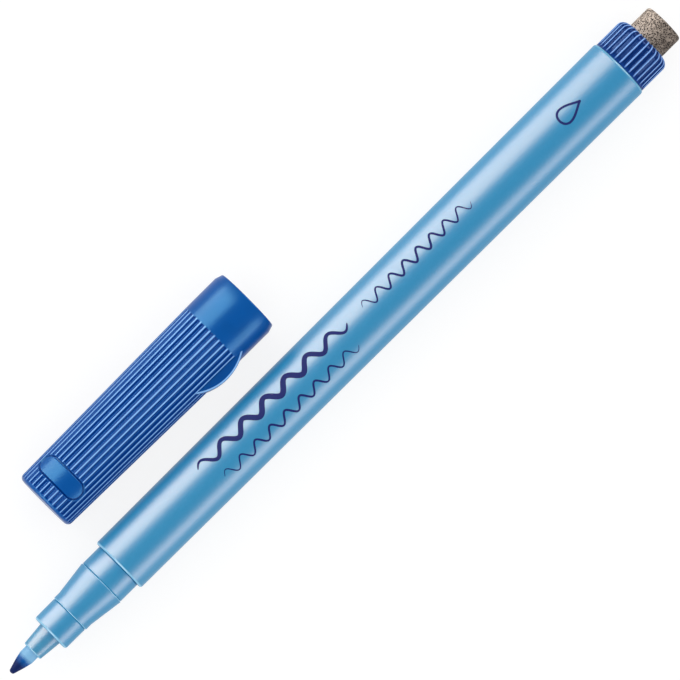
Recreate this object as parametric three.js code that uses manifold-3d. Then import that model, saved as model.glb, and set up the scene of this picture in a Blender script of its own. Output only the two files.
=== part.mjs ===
// A fine non-permanent marker with an eraser on its rear end. It lies uncapped on a table, with its cap beside it.
// Millimetres, +Z up. The pen lies along X with its point towards -X, and the cap lies on its +Y side, parallel to it,
// with its mouth towards +X. The origin is on the table, under the middle of the box round both.
import * as THREE from "three";
import { mergeVertices } from "three/addons/utils/BufferGeometryUtils.js";
import Module from "manifold-3d";

const wasm = await Module();
wasm.setup();

// Nib: a fibre rod ground to a conical point, with a steeper cone behind it that runs into the rod.
const NIB_RADIUS = 1.15;
const NIB_POINT_RADIUS = 0.34;
const NIB_GROUND_LENGTH = 1.95;
const NIB_GROUND_RADIUS = 0.92;
const NIB_CONE_LENGTH = 3.0;
const NIB_COLLAR_LENGTH = 1.15;
const NIB_IN_RESERVOIR = 4.5;

// Nib holder: the small cone that grips the nib, pressed into the barrel's nose from the front.
const HOLDER_LENGTH = 3.5;
const HOLDER_FRONT_RADIUS = 1.55;
const HOLDER_BACK_RADIUS = 1.89;
const HOLDER_SHANK_RADIUS = 1.58;
const HOLDER_SHANK_LENGTH = 5;
const HOLDER_EDGE = 0.15;

// Barrel: nose, taper, seal land and grip tube, moulded in one.
const NOSE_LENGTH = 3.85;
const NOSE_FRONT_RADIUS = 3.0;
const NOSE_BACK_RADIUS = 3.02;
const NOSE_EDGE = 0.35;
const TAPER_LENGTH = 6.2;
const TAPER_COLLAR_LENGTH = 1.1;
const TAPER_FRONT_RADIUS = 3.12;
const TAPER_BACK_RADIUS = 3.8;
const SEAL_LENGTH = 3.3;
const SEAL_RADIUS = 3.72;
const BARREL_LENGTH = 98.1;
const BARREL_FRONT_RADIUS = 4.37;
const BARREL_REAR_RADIUS = 4.7;
const BARREL_FRONT_EDGE = 0.25;
const BARREL_REAR_EDGE = 0.45;
const BARREL_WALL = 0.9;
const NOSE_WALL = 1.0;
const NOSE_BORE_LENGTH = 5.6;
const RESERVOIR_SEAT_LENGTH = 1.2;
const GUIDE_RIBS = 6;
const GUIDE_RIB_WIDTH = 0.5;
const GUIDE_RIB_START_GAP = 3;

// Ink reservoir: a fibre bundle in a wrap of thin film.
const RESERVOIR_RADIUS = 3.0;
const FILM_THICKNESS = 0.12;
const FILM_SHORT = 0.6;

// End plug: a ribbed head with a lip round the eraser, a spigot pressed into the barrel, and a stop that holds the
// reservoir.
const PLUG_HEAD_LENGTH = 5.2;
const PLUG_RADIUS = 4.48;
const PLUG_CROWN_ALONG = 1.1;
const PLUG_CROWN_ACROSS = 1.3;
const PLUG_LIP_WIDTH = 0.24;
const PLUG_LIP_SHORT = 0.1;
const PLUG_RIBS = 30;
const PLUG_RIB_WIDTH = 0.3;
const PLUG_RIB_HEIGHT = 0.24;
const PLUG_RIB_START = 0.35;
const SPIGOT_LENGTH = 8.5;
const SPIGOT_LEAD = 0.5;
const PLUG_STOP_LENGTH = 6;
const PLUG_STOP_RADIUS = 1.6;

// Eraser: a round stick of porous rubber, pressed into the plug's socket.
const ERASER_RADIUS = 3.1;
const ERASER_EXPOSED = 3.7;
const ERASER_IN_PLUG = 8.5;
const ERASER_EDGE = 0.4;

// Cap: a fluted tube with one closed end, a smooth oval pad near that end and a half-moon roll stop near its mouth.
const CAP_LENGTH = 39.8;
const CAP_END_RADIUS = 4.75;
const CAP_COLLAR_RADIUS = 5.26;
const CAP_COLLAR_LENGTH = 6;
const CAP_RIM_BEVEL_LENGTH = 1.1;
const CAP_RIM_RADIUS = 4.98;
const CAP_RIM_EDGE = 0.22;
const CAP_END_EDGE = 0.75;
const CAP_END_WALL = 1.3;
const CAP_CHAMBER_END_RADIUS = 3.5;
const CAP_MOUTH_OVERLAP = 3;
const CAP_MOUTH_CHAMFER = 0.12;
const CAP_SNAP_WIDTH = 0.5;
const CAP_SNAP_HEIGHT = 0.06;
const FLUTES = 36;
const FLUTE_WIDTH = 0.56;
const FLUTE_DEPTH = 0.21;
const FLUTE_START = 0.75;
const FLUTE_END_MARGIN = 0.85;
const FLUTE_RUNOUT = 0.9;
const FLUTE_PHASE = -1.5;
const PAD_CENTRE = 4.05;
const PAD_WIDTH = 2.55;
const PAD_SPAN = 96;
const PAD_AZIMUTH = -11.5;
const PAD_CORNER = 1.1;
const MOAT_WIDTH = 0.28;
const MOAT_DEPTH = 0.22;
const MOAT_LIP = 0.12;
const STOP_CENTRE = 30;
const STOP_ARC_RADIUS = 7.6;
const STOP_REACH = 5.84;
const STOP_HALF_THICKNESS = 2.8;
const STOP_ROOT_RADIUS = 3.9;
const STOP_AZIMUTH = 90;
const STOP_EDGE = 0.25;

// How the two lie on the table, measured from the point of the nib.
const CAP_END_BEHIND_POINT = 19.84;
const AXES_APART = 13.5;

// Running and press clearances between pieces.
const PRESS_CLEARANCE = 0.04;
const SLIDE_CLEARANCE = 0.1;
const END_CLEARANCE = 0.2;

// Facets of the round pieces: outside, hidden inside and on the cap.
const SIDES = 48;
const INNER_SIDES = 24;
const CAP_SIDES = 72;
const EDGE_STEPS = 3;
const FLUTE_SIDES = 6;
const FLUTE_END_STEPS = 2;
const PLUG_CROWN_STEPS = 4;

// Stations along the pen, from the point of the nib towards the rear.
const HOLDER_START = NIB_CONE_LENGTH + NIB_COLLAR_LENGTH;
const NOSE_START = HOLDER_START + HOLDER_LENGTH;
const TAPER_START = NOSE_START + NOSE_LENGTH;
const SEAL_START = TAPER_START + TAPER_LENGTH;
const SHOULDER = SEAL_START + SEAL_LENGTH;
const BARREL_END = SHOULDER + BARREL_LENGTH;
const PLUG_END = BARREL_END + PLUG_HEAD_LENGTH;
const SPIGOT_START = BARREL_END - SPIGOT_LENGTH;
const PLUG_STOP_START = SPIGOT_START - PLUG_STOP_LENGTH;
const RESERVOIR_START = SHOULDER + RESERVOIR_SEAT_LENGTH + END_CLEARANCE;
const RESERVOIR_END = PLUG_STOP_START - END_CLEARANCE;
const PEN_LENGTH = PLUG_END + ERASER_EXPOSED;

// Radii that follow from their neighbours.
const FILM_RADIUS = RESERVOIR_RADIUS + PRESS_CLEARANCE + FILM_THICKNESS;
const BORE_FRONT_RADIUS = BARREL_FRONT_RADIUS - BARREL_WALL;
const BORE_REAR_RADIUS = BARREL_REAR_RADIUS - BARREL_WALL;
const NOSE_BORE_RADIUS = HOLDER_SHANK_RADIUS + PRESS_CLEARANCE;
const SPIGOT_RADIUS = boreRadiusAt(SPIGOT_START) - PRESS_CLEARANCE;
const SOCKET_RADIUS = ERASER_RADIUS + PRESS_CLEARANCE;
const CAP_SEAL_RADIUS = SEAL_RADIUS + PRESS_CLEARANCE;
const CAP_MOUTH_RADIUS = BARREL_FRONT_RADIUS + SLIDE_CLEARANCE;

// The radius of the barrel's drafted bore at a station.
function boreRadiusAt(station) {
  const share = (station - SHOULDER) / BARREL_LENGTH;
  return THREE.MathUtils.lerp(BORE_FRONT_RADIUS, BORE_REAR_RADIUS, share);
}

// The cap's outer radius at a distance from its closed end: drafted, then straight along the collar.
function capRadiusAt(distance) {
  const share = distance / (CAP_LENGTH - CAP_COLLAR_LENGTH);
  return THREE.MathUtils.lerp(CAP_END_RADIUS, CAP_COLLAR_RADIUS, THREE.MathUtils.clamp(share, 0, 1));
}

// Points [x, r] on a quarter ellipse round (x, r), from one angle to another in degrees, both ends included.
function edge(x, r, along, across, fromAngle, toAngle, steps = EDGE_STEPS) {
  return Array.from({ length: steps + 1 }, (_, i) => {
    const angle = THREE.MathUtils.degToRad(THREE.MathUtils.lerp(fromAngle, toAngle, i / steps));
    return [x + along * Math.cos(angle), r + across * Math.sin(angle)];
  });
}

// A solid turned round the X axis. The profile is a list of [x, r] with its inside on the right hand as it goes
// towards +X along the outside. It starts and ends on the axis, or closes on itself.
function turned(profile, sides = SIDES) {
  const points = profile.map(([x, r]) => new THREE.Vector2(r, x));
  return new THREE.LatheGeometry(points, sides).rotateZ(-Math.PI / 2);
}

// A ring or tube turned round the X axis: the profile is closed by its own first point.
function turnedRing(profile, sides = SIDES) {
  return turned([...profile, profile[0]], sides);
}

// A closed three.js geometry as a manifold solid, with its shared corners merged.
function solidOf(geometry) {
  const plain = geometry.index ? geometry.toNonIndexed() : geometry.clone();
  plain.deleteAttribute("normal");
  plain.deleteAttribute("uv");
  const merged = mergeVertices(plain, 1e-4);
  return new wasm.Manifold(
    new wasm.Mesh({
      numProp: 3,
      vertProperties: new Float32Array(merged.attributes.position.array),
      triVerts: new Uint32Array(merged.index.array),
    }),
  );
}

// A manifold solid as a three.js geometry.
function geometryOf(solid) {
  const mesh = solid.getMesh();
  const corners = new Float32Array(mesh.numVert * 3);
  for (let i = 0; i < mesh.numVert; i++) {
    corners.set(mesh.vertProperties.subarray(i * mesh.numProp, i * mesh.numProp + 3), i * 3);
  }
  const geometry = new THREE.BufferGeometry();
  geometry.setAttribute("position", new THREE.BufferAttribute(corners, 3));
  geometry.setIndex(new THREE.BufferAttribute(new Uint32Array(mesh.triVerts), 1));
  geometry.computeVertexNormals();
  return geometry;
}

// Turns a geometry about the X axis by an azimuth in degrees: 0 faces up and 90 faces -Y.
function towards(geometry, azimuth) {
  return geometry.rotateX(THREE.MathUtils.degToRad(azimuth));
}

function piece(name, geometry, material) {
  const mesh = new THREE.Mesh(geometry, material);
  mesh.name = name;
  return mesh;
}

const material = (color, roughness) =>
  new THREE.MeshStandardMaterial({ color, roughness, metalness: 0, flatShading: true });
const pearlBlue = material(0x4a9fd0, 0.35);
const holderBlue = material(0x6db4d4, 0.4);
const darkBlue = material(0x1450a8, 0.4);
const nibFibre = material(0x1f5fae, 0.8);
const reservoirFibre = material(0x2c55a0, 0.9);
const clearFilm = material(0xe6eef4, 0.2);
const erasingRubber = material(0x8f8274, 0.95);

function makeNib() {
  const end = RESERVOIR_START + NIB_IN_RESERVOIR;
  const profile = [
    ...edge(NIB_POINT_RADIUS, 0, NIB_POINT_RADIUS, NIB_POINT_RADIUS, 180, 110),
    [NIB_GROUND_LENGTH, NIB_GROUND_RADIUS],
    [NIB_CONE_LENGTH, NIB_RADIUS],
    [end, NIB_RADIUS],
    [end, 0],
  ];
  return piece("nib", turned(profile, INNER_SIDES), nibFibre);
}

function makeNibHolder() {
  const bore = NIB_RADIUS + PRESS_CLEARANCE;
  const shankEnd = NOSE_START + HOLDER_SHANK_LENGTH;
  const profile = [
    [HOLDER_START, bore],
    ...edge(HOLDER_START + HOLDER_EDGE, HOLDER_FRONT_RADIUS - HOLDER_EDGE, HOLDER_EDGE, HOLDER_EDGE, 180, 90),
    [NOSE_START, HOLDER_BACK_RADIUS],
    [NOSE_START, HOLDER_SHANK_RADIUS],
    [shankEnd, HOLDER_SHANK_RADIUS],
    [shankEnd, bore],
  ];
  return piece("nib_holder", turnedRing(profile, INNER_SIDES), holderBlue);
}

function barrelOutline() {
  return [
    ...edge(NOSE_START + NOSE_EDGE, NOSE_FRONT_RADIUS - NOSE_EDGE, NOSE_EDGE, NOSE_EDGE, 180, 90),
    [TAPER_START, NOSE_BACK_RADIUS],
    [TAPER_START, TAPER_FRONT_RADIUS],
    [TAPER_START + TAPER_COLLAR_LENGTH, TAPER_FRONT_RADIUS],
    [SEAL_START, TAPER_BACK_RADIUS],
    [SEAL_START, SEAL_RADIUS],
    [SHOULDER, SEAL_RADIUS],
    ...edge(
      SHOULDER + BARREL_FRONT_EDGE, BARREL_FRONT_RADIUS - BARREL_FRONT_EDGE,
      BARREL_FRONT_EDGE, BARREL_FRONT_EDGE, 180, 90,
    ),
    ...edge(
      BARREL_END - BARREL_REAR_EDGE, BARREL_REAR_RADIUS - BARREL_REAR_EDGE,
      BARREL_REAR_EDGE, BARREL_REAR_EDGE, 90, 0,
    ),
  ];
}

// The bore from the rear to the nose: reservoir tube, seat, and a taper that keeps the wall even.
function barrelBore() {
  const noseBoreEnd = NOSE_START + NOSE_BORE_LENGTH;
  return [
    [BARREL_END, BORE_REAR_RADIUS],
    [SHOULDER + RESERVOIR_SEAT_LENGTH, boreRadiusAt(SHOULDER + RESERVOIR_SEAT_LENGTH)],
    [SHOULDER, SEAL_RADIUS - NOSE_WALL],
    [SEAL_START, SEAL_RADIUS - NOSE_WALL],
    [noseBoreEnd, TAPER_FRONT_RADIUS - NOSE_WALL],
    [noseBoreEnd, NOSE_BORE_RADIUS],
    [NOSE_START, NOSE_BORE_RADIUS],
  ];
}

// One of the ribs inside the barrel that centre the reservoir and leave air channels beside it.
function guideRib(index) {
  const start = RESERVOIR_START + GUIDE_RIB_START_GAP;
  const end = SPIGOT_START - END_CLEARANCE;
  const inside = FILM_RADIUS + SLIDE_CLEARANCE;
  const outside = boreRadiusAt(start) + BARREL_WALL / 2;
  const rib = new THREE.BoxGeometry(end - start, GUIDE_RIB_WIDTH, outside - inside);
  rib.translate((start + end) / 2, 0, (inside + outside) / 2);
  return towards(rib, (360 * index) / GUIDE_RIBS);
}

function makeBarrel() {
  let solid = solidOf(turnedRing([...barrelOutline(), ...barrelBore()]));
  for (let i = 0; i < GUIDE_RIBS; i++) {
    solid = solid.add(solidOf(guideRib(i)));
  }
  return piece("barrel", geometryOf(solid), pearlBlue);
}

function makeReservoir() {
  const nibHole = NIB_RADIUS + PRESS_CLEARANCE;
  const profile = [
    [RESERVOIR_START + NIB_IN_RESERVOIR + END_CLEARANCE, 0],
    [RESERVOIR_START + NIB_IN_RESERVOIR + END_CLEARANCE, nibHole],
    [RESERVOIR_START, nibHole],
    [RESERVOIR_START, RESERVOIR_RADIUS],
    [RESERVOIR_END, RESERVOIR_RADIUS],
    [RESERVOIR_END, 0],
  ];
  return piece("ink_reservoir", turned(profile, INNER_SIDES), reservoirFibre);
}

function makeFilm() {
  const inside = RESERVOIR_RADIUS + PRESS_CLEARANCE;
  const start = RESERVOIR_START + FILM_SHORT;
  const end = RESERVOIR_END - FILM_SHORT;
  const profile = [
    [start, inside],
    [start, FILM_RADIUS],
    [end, FILM_RADIUS],
    [end, inside],
  ];
  return piece("reservoir_film", turnedRing(profile, INNER_SIDES), clearFilm);
}

// The outline of the plug's head, sunk below its rib tops by a depth. The crown is rounded down to the eraser.
function plugHead(depth) {
  const radius = PLUG_RADIUS - depth;
  const end = PLUG_END - depth;
  return turned([
    [BARREL_END, 0],
    [BARREL_END, radius],
    ...edge(
      end - PLUG_CROWN_ALONG, radius - PLUG_CROWN_ACROSS,
      PLUG_CROWN_ALONG, PLUG_CROWN_ACROSS, 90, 0, PLUG_CROWN_STEPS,
    ),
    [end, 0],
  ]);
}

// A slab through the axis that leaves two opposite ribs of the plug's head.
function plugRibSlab(index) {
  const start = BARREL_END + PLUG_RIB_START;
  const slab = new THREE.BoxGeometry(PLUG_END - start, PLUG_RIB_WIDTH, 2 * PLUG_RADIUS);
  slab.translate((start + PLUG_END) / 2, 0, 0);
  return towards(slab, (360 * (index + 0.5)) / PLUG_RIBS);
}

function makeEndPlug() {
  const outer = solidOf(plugHead(0));
  let head = solidOf(plugHead(PLUG_RIB_HEIGHT));
  for (let i = 0; i < PLUG_RIBS / 2; i++) {
    head = head.add(outer.intersect(solidOf(plugRibSlab(i))));
  }
  const lip = turned([
    [BARREL_END + PLUG_RIB_START, 0],
    [BARREL_END + PLUG_RIB_START, SOCKET_RADIUS + PLUG_LIP_WIDTH],
    [PLUG_END - PLUG_LIP_SHORT, SOCKET_RADIUS + PLUG_LIP_WIDTH],
    [PLUG_END - PLUG_LIP_SHORT, 0],
  ]);
  const spigot = turned([
    [PLUG_STOP_START, 0],
    [PLUG_STOP_START, PLUG_STOP_RADIUS],
    [SPIGOT_START, PLUG_STOP_RADIUS],
    [SPIGOT_START, SPIGOT_RADIUS - SPIGOT_LEAD],
    [SPIGOT_START + SPIGOT_LEAD, SPIGOT_RADIUS],
    [BARREL_END + PLUG_RIB_START, SPIGOT_RADIUS],
    [BARREL_END + PLUG_RIB_START, 0],
  ]);
  const socket = turned([
    [PLUG_END - ERASER_IN_PLUG, 0],
    [PLUG_END - ERASER_IN_PLUG, SOCKET_RADIUS],
    [PLUG_END + ERASER_EXPOSED, SOCKET_RADIUS],
    [PLUG_END + ERASER_EXPOSED, 0],
  ]);
  const solid = head.add(solidOf(lip)).add(solidOf(spigot)).subtract(solidOf(socket));
  return piece("end_plug", geometryOf(solid), darkBlue);
}

function makeEraser() {
  const start = PLUG_END - ERASER_IN_PLUG + END_CLEARANCE;
  const profile = [
    [start, 0],
    [start, ERASER_RADIUS],
    ...edge(PEN_LENGTH - ERASER_EDGE, ERASER_RADIUS - ERASER_EDGE, ERASER_EDGE, ERASER_EDGE, 90, 0),
    [PEN_LENGTH, 0],
  ];
  return piece("eraser", turned(profile, SIDES), erasingRubber);
}

// The cap's outer form without flutes, closed at both ends, sunk below its surface by a depth.
function capOutline(depth = 0) {
  const collarStart = CAP_LENGTH - CAP_COLLAR_LENGTH;
  const bevelStart = CAP_LENGTH - CAP_RIM_BEVEL_LENGTH;
  const endRadius = capRadiusAt(CAP_END_EDGE) - depth;
  return [
    [0, 0],
    ...edge(CAP_END_EDGE, endRadius - CAP_END_EDGE, CAP_END_EDGE, CAP_END_EDGE, 180, 90),
    [collarStart, CAP_COLLAR_RADIUS - depth],
    [bevelStart, CAP_COLLAR_RADIUS - depth],
    ...edge(CAP_LENGTH - CAP_RIM_EDGE, CAP_RIM_RADIUS - CAP_RIM_EDGE - depth, CAP_RIM_EDGE, CAP_RIM_EDGE, 90, 0),
    [CAP_LENGTH, 0],
  ];
}

// The cap's bore: a mouth that slips over the barrel, a ledge for its shoulder, a seal bore with a snap groove behind
// the barrel's bead, and a drafted chamber round the nose and the nib.
function capBore() {
  const ledge = CAP_LENGTH - CAP_MOUTH_OVERLAP - END_CLEARANCE;
  const sealEnd = ledge - SEAL_LENGTH;
  const snapRadius = TAPER_BACK_RADIUS + CAP_SNAP_HEIGHT;
  return [
    [CAP_END_WALL, 0],
    [CAP_END_WALL, CAP_CHAMBER_END_RADIUS],
    [sealEnd - CAP_SNAP_WIDTH, CAP_SEAL_RADIUS],
    [sealEnd - CAP_SNAP_WIDTH, snapRadius],
    [sealEnd, snapRadius],
    [sealEnd, CAP_SEAL_RADIUS],
    [ledge, CAP_SEAL_RADIUS],
    [ledge, CAP_MOUTH_RADIUS],
    [CAP_LENGTH - CAP_MOUTH_CHAMFER, CAP_MOUTH_RADIUS],
    [CAP_LENGTH, CAP_MOUTH_RADIUS + CAP_MOUTH_CHAMFER],
    [CAP_LENGTH + CAP_MOUTH_CHAMFER, CAP_MOUTH_RADIUS + CAP_MOUTH_CHAMFER],
    [CAP_LENGTH + CAP_MOUTH_CHAMFER, 0],
  ];
}

// A spindle that cuts one flute: a round section on the cap's drafted surface, with ends that run out to nothing.
function fluteCutter(index) {
  const start = FLUTE_START;
  const end = CAP_LENGTH - CAP_COLLAR_LENGTH - FLUTE_END_MARGIN;
  const startRadius = capRadiusAt(start);
  const endRadius = capRadiusAt(end);
  const section = (FLUTE_WIDTH ** 2 / 4 + FLUTE_DEPTH ** 2) / (2 * FLUTE_DEPTH);
  const lift = section - FLUTE_DEPTH;
  const length = Math.hypot(end - start, endRadius - startRadius);
  const spindle = turned(
    [
      ...edge(FLUTE_RUNOUT, 0, FLUTE_RUNOUT, section, 180, 90, FLUTE_END_STEPS),
      ...edge(length - FLUTE_RUNOUT, 0, FLUTE_RUNOUT, section, 90, 0, FLUTE_END_STEPS),
    ],
    FLUTE_SIDES,
  );
  spindle.rotateX(Math.PI / FLUTE_SIDES);
  spindle.rotateY(-Math.atan2(endRadius - startRadius, end - start));
  spindle.translate(start, 0, startRadius + lift);
  return towards(spindle, FLUTE_PHASE + (360 * index) / FLUTES);
}

// A prism with the pad's rounded outline, grown by a margin and standing up through the cap's top wall.
function padPrism(margin) {
  const halfSpan = capRadiusAt(PAD_CENTRE) * Math.sin(THREE.MathUtils.degToRad(PAD_SPAN / 2)) + margin;
  const halfWidth = PAD_WIDTH / 2 + margin;
  const corner = PAD_CORNER + margin;
  const outline = new THREE.Shape();
  outline.moveTo(halfWidth, -halfSpan + corner);
  outline.absarc(halfWidth - corner, halfSpan - corner, corner, 0, Math.PI / 2);
  outline.absarc(-halfWidth + corner, halfSpan - corner, corner, Math.PI / 2, Math.PI);
  outline.absarc(-halfWidth + corner, -halfSpan + corner, corner, Math.PI, 1.5 * Math.PI);
  outline.absarc(halfWidth - corner, -halfSpan + corner, corner, 1.5 * Math.PI, 2 * Math.PI);
  const prism = new THREE.ExtrudeGeometry(outline, {
    depth: CAP_COLLAR_RADIUS + 1,
    bevelEnabled: false,
    curveSegments: EDGE_STEPS,
  });
  prism.translate(PAD_CENTRE, 0, 0);
  return towards(prism, PAD_AZIMUTH);
}

// The half-moon roll stop: the part of a disc with softened edges that stands out of the cap's side.
function rollStop() {
  const rim = STOP_ARC_RADIUS - STOP_EDGE;
  const disc = turned(
    [
      [-STOP_HALF_THICKNESS, 0],
      ...edge(-STOP_HALF_THICKNESS + STOP_EDGE, rim, STOP_EDGE, STOP_EDGE, 180, 90),
      ...edge(STOP_HALF_THICKNESS - STOP_EDGE, rim, STOP_EDGE, STOP_EDGE, 90, 0),
      [STOP_HALF_THICKNESS, 0],
    ],
    CAP_SIDES,
  );
  disc.rotateZ(Math.PI / 2);
  disc.translate(STOP_CENTRE, 0, STOP_REACH - STOP_ARC_RADIUS);
  const outside = new THREE.BoxGeometry(2 * STOP_ARC_RADIUS, 4 * STOP_HALF_THICKNESS, 2 * STOP_ARC_RADIUS);
  outside.translate(STOP_CENTRE, 0, STOP_ROOT_RADIUS + STOP_ARC_RADIUS);
  return solidOf(towards(disc, STOP_AZIMUTH)).intersect(solidOf(towards(outside, STOP_AZIMUTH)));
}

function makeCap() {
  const moatFloor = solidOf(turned(capOutline(MOAT_DEPTH), CAP_SIDES));
  const padWithMoat = solidOf(padPrism(MOAT_WIDTH));
  const fluteKeepOut = solidOf(padPrism(MOAT_WIDTH + MOAT_LIP));
  let flutes = solidOf(fluteCutter(0));
  for (let i = 1; i < FLUTES; i++) {
    flutes = flutes.add(solidOf(fluteCutter(i)));
  }
  const moat = padWithMoat.subtract(solidOf(padPrism(0))).subtract(moatFloor);
  const solid = solidOf(turned(capOutline(), CAP_SIDES))
    .subtract(flutes.subtract(fluteKeepOut))
    .subtract(moat)
    .add(rollStop())
    .subtract(solidOf(turned(capBore())));
  return piece("cap", geometryOf(solid), darkBlue);
}

// The pen's widest radius and the cap's touch the table. The box round both is centred on the origin.
const FRONT_EDGE = -BARREL_REAR_RADIUS;
const BACK_EDGE = AXES_APART + CAP_COLLAR_RADIUS;

const pen = new THREE.Group();
pen.add(
  makeNib(),
  makeNibHolder(),
  makeBarrel(),
  makeReservoir(),
  makeFilm(),
  makeEndPlug(),
  makeEraser(),
);
pen.position.set(-PEN_LENGTH / 2, -(FRONT_EDGE + BACK_EDGE) / 2, BARREL_REAR_RADIUS);

const capOff = new THREE.Group();
capOff.add(makeCap());
capOff.position.set(
  pen.position.x + CAP_END_BEHIND_POINT,
  pen.position.y + AXES_APART,
  CAP_COLLAR_RADIUS,
);

const marker = new THREE.Group();
marker.add(pen, capOff);

export default marker;
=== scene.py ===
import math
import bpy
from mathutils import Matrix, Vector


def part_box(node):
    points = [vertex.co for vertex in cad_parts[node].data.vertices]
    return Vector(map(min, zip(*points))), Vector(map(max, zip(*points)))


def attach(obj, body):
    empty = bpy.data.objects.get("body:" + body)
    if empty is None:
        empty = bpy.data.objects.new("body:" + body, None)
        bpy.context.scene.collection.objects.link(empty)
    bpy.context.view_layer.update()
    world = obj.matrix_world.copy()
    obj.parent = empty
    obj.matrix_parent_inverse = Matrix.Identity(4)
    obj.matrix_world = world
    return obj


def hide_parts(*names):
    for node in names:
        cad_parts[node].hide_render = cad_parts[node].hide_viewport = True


bl_info = {
    "name": "Uncapped Fibre Marker",
    "version": (1, 0, 0),
    "blender": (4, 5, 0),
    "location": "View3D > Sidebar > Marker",
    "description": "Builds a fine fibre marker lying uncapped, with its fluted cap beside it",
    "category": "Add Mesh",
}

import bmesh
import bpy
from mathutils import Matrix, Vector, noise

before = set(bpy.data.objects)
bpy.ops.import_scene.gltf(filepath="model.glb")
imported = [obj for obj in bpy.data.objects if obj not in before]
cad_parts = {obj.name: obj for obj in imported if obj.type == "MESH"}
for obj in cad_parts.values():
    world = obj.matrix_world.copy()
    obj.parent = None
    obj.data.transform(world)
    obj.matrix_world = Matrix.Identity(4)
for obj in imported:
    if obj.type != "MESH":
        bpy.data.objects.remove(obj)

MM = 0.001
TURN = 2 * math.pi
QUARTER = TURN / 4
WHITE = (1.0, 1.0, 1.0, 1.0)

# Points this near to one another are merged, and places this near to one another count as the same.
MERGED = 0.0001 * MM
SAME = 0.002 * MM

# The gap that a press fit leaves all round.
FIT = 0.04 * MM

# A Mix node's colour sockets, by number because its float, vector and colour sockets share their names.
MIX_FACTOR = 0
MIX_A = 6
MIX_B = 7
MIX_RESULT = 2

# The boxes of the solids, and the points where the pen's axis and the cap's axis start.
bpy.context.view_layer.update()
BARREL_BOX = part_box("barrel")
CAP_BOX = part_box("cap")
HOLDER_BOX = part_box("nib_holder")
NIB_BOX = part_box("nib")
PLUG_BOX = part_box("end_plug")
ERASER_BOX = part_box("eraser")
CAP_RADIUS = (CAP_BOX[1].z - CAP_BOX[0].z) / 2
PEN_PLACE = Vector((
    NIB_BOX[0].x,
    (BARREL_BOX[0].y + BARREL_BOX[1].y) / 2,
    (BARREL_BOX[0].z + BARREL_BOX[1].z) / 2,
))
CAP_PLACE = Vector((CAP_BOX[0].x, CAP_BOX[1].y - CAP_RADIUS, CAP_BOX[0].z + CAP_RADIUS))

# Stations along the pen, in metres from the point of the nib.
NIB_END = NIB_BOX[1].x - PEN_PLACE.x
HOLDER_START = HOLDER_BOX[0].x - PEN_PLACE.x
HOLDER_END = HOLDER_BOX[1].x - PEN_PLACE.x
NOSE_START = BARREL_BOX[0].x - PEN_PLACE.x
BARREL_END = BARREL_BOX[1].x - PEN_PLACE.x
SPIGOT_START = PLUG_BOX[0].x - PEN_PLACE.x
PLUG_END = PLUG_BOX[1].x - PEN_PLACE.x
ERASER_START = ERASER_BOX[0].x - PEN_PLACE.x
PEN_END = ERASER_BOX[1].x - PEN_PLACE.x


def linear(hex_colour):
    """An sRGB hex value as a linear colour with full alpha."""
    channels = [int(hex_colour[i:i + 2], 16) / 255 for i in (1, 3, 5)]
    # The sRGB curve is straight in the darkest shades and a power above them.
    return tuple(c / 12.92 if c <= 0.04045 else ((c + 0.055) / 1.055) ** 2.4 for c in channels) + (1.0,)


def length(name, description, millimetres):
    """A length that the user can set, shown in the scene's unit."""
    return bpy.props.FloatProperty(
        name=name, description=description, default=millimetres * MM, min=0.0, unit="LENGTH", precision=5,
    )


def tint(name, description, hex_colour):
    """A colour that the user can set."""
    return bpy.props.FloatVectorProperty(
        name=name, description=description, default=linear(hex_colour),
        min=0.0, max=1.0, size=4, subtype="COLOR",
    )


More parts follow.
